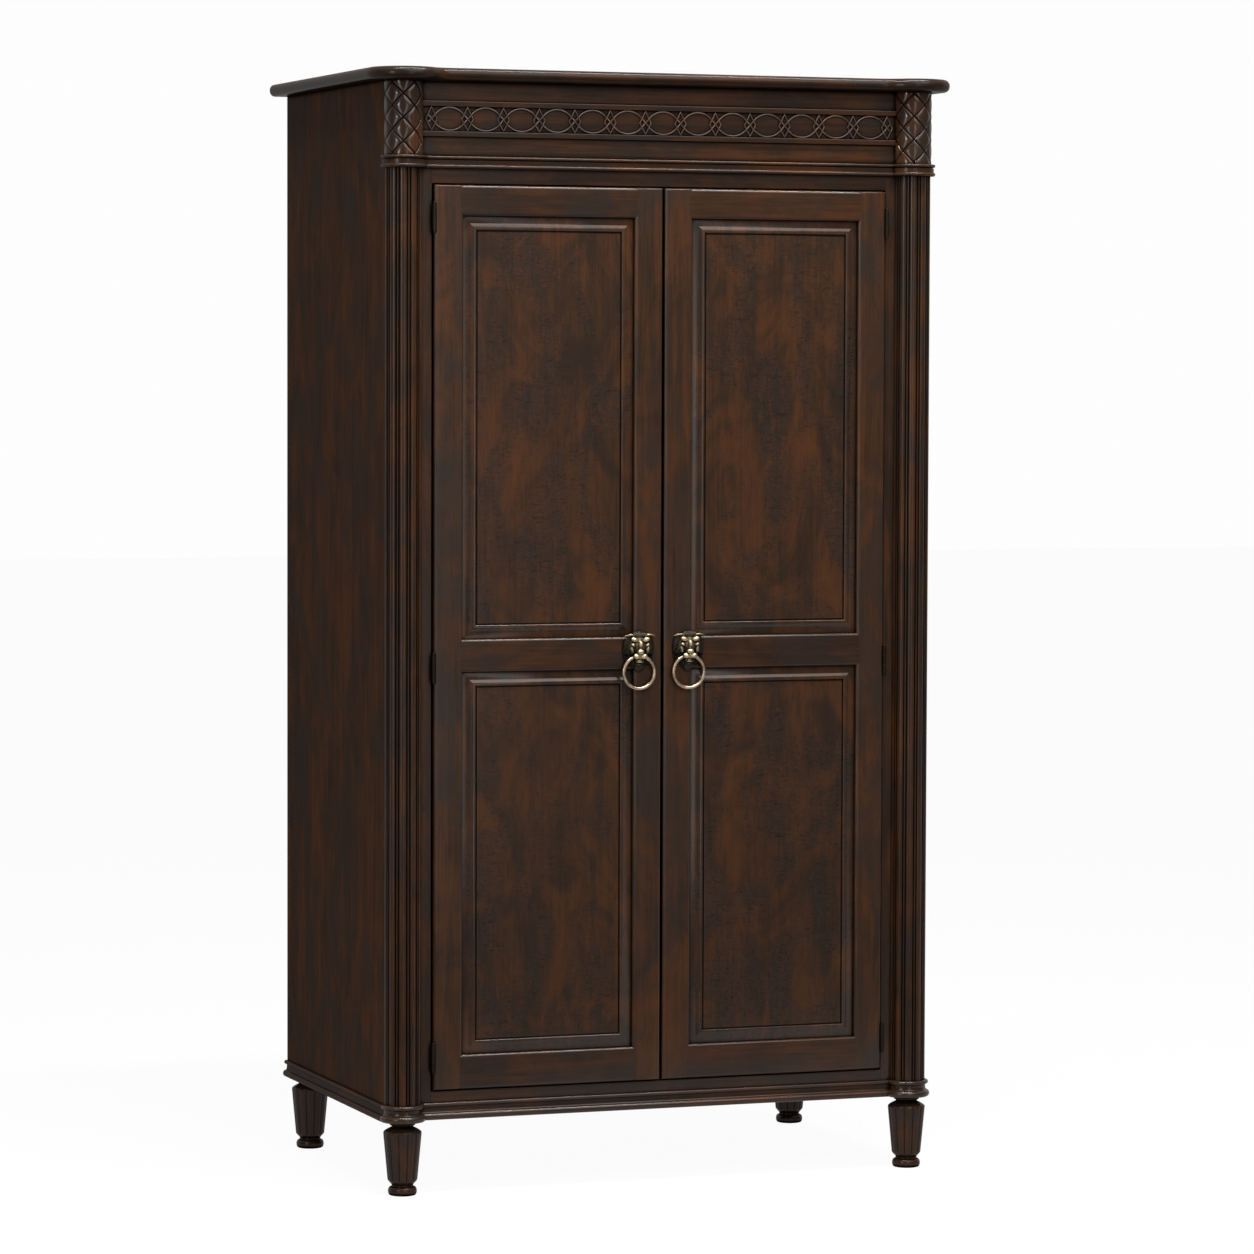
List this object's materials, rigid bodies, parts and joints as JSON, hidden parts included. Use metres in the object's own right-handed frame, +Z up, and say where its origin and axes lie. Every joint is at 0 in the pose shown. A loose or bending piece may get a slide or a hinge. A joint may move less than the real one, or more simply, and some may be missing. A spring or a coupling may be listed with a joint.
{
  "type": "wardrobe",
  "caption": "Hanging wardrobe with carved frieze, lattice capitals, reeded corner columns, raised-panel doors, lion-mask ring pulls and turned feet.",
  "frame": {"origin": "middle of the floor under the whole piece", "axes": "+Z up, doors face -Y, +X to the right seen from the front"},
  "size_m": [1.184, 0.724, 2.13],
  "materials": {
    "walnut": "dark stained walnut under satin lacquer",
    "figured_walnut": "dark figured walnut under satin lacquer",
    "inner_wood": "plain secondary wood, oiled",
    "antique_brass": "cast and turned brass, dark in its hollows",
    "catch_steel": "plain"
  },
  "bodies": {
    "carcass": {"back_panel": "inner_wood", "base_moulding_corners": "walnut", "bottom_board": "inner_wood", "bottom_rail": "walnut", "door_stops": "inner_wood", "foot_blocks": "inner_wood", "frame_hinge_leaves": "antique_brass", "frieze_board": "walnut", "frieze_fillets": "walnut", "frieze_fretwork": "walnut", "front_base_moulding": "walnut", "front_left_foot": "walnut", "front_right_foot": "walnut", "garment_rod": "inner_wood", "hat_shelf": "inner_wood", "left_capital": "walnut", "left_column": "walnut", "left_front_stile": "walnut", "left_side_panel": "walnut", "left_top_corner": "walnut", "magnet_catches": "catch_steel", "mid_moulding": "walnut", "mid_moulding_rings": "walnut", "rear_bottom_rail": "inner_wood", "rear_left_foot": "walnut", "rear_right_foot": "walnut", "rear_top_rail": "inner_wood", "right_capital": "walnut", "right_column": "walnut", "right_front_stile": "walnut", "right_side_panel": "walnut", "right_top_corner": "walnut", "rod_sockets": "inner_wood", "shelf_cleats": "inner_wood", "side_base_mouldings": "walnut", "top_board": "walnut", "top_rail": "walnut"},
    "left_door": {"left_door_bottom_rail": "walnut", "left_door_hinge_leaves": "antique_brass", "left_door_hinge_stile": "walnut", "left_door_lock_rail": "walnut", "left_door_lower_panel": "figured_walnut", "left_door_meeting_stile": "walnut", "left_door_pull_mask": "antique_brass", "left_door_strike_plate": "catch_steel", "left_door_top_rail": "walnut", "left_door_upper_panel": "figured_walnut"},
    "right_door": {"right_door_bottom_rail": "walnut", "right_door_hinge_leaves": "antique_brass", "right_door_hinge_stile": "walnut", "right_door_lock_rail": "walnut", "right_door_lower_panel": "figured_walnut", "right_door_meeting_stile": "walnut", "right_door_pull_mask": "antique_brass", "right_door_strike_plate": "catch_steel", "right_door_top_rail": "walnut", "right_door_upper_panel": "figured_walnut"},
    "left_ring": {"left_door_pull_ring": "antique_brass"},
    "right_ring": {"right_door_pull_ring": "antique_brass"}
  },
  "joints": [
    {"name": "left_door_hinge", "type": "hinge", "parent": "carcass", "child": "left_door", "pos_m": [-0.4625, -0.301, 1.0545], "axis": [0, 0, -1], "range_deg": [0, 120]},
    {"name": "right_door_hinge", "type": "hinge", "parent": "carcass", "child": "right_door", "pos_m": [0.4625, -0.301, 1.0545], "axis": [0, 0, 1], "range_deg": [0, 120]},
    {"name": "left_ring_swing", "type": "hinge", "parent": "left_door", "child": "left_ring", "pos_m": [-0.051, -0.308, 1.017], "axis": [-1, 0, 0], "range_deg": [-2, 90]},
    {"name": "right_ring_swing", "type": "hinge", "parent": "right_door", "child": "right_ring", "pos_m": [0.051, -0.308, 1.017], "axis": [-1, 0, 0], "range_deg": [-2, 90]}
  ]
}
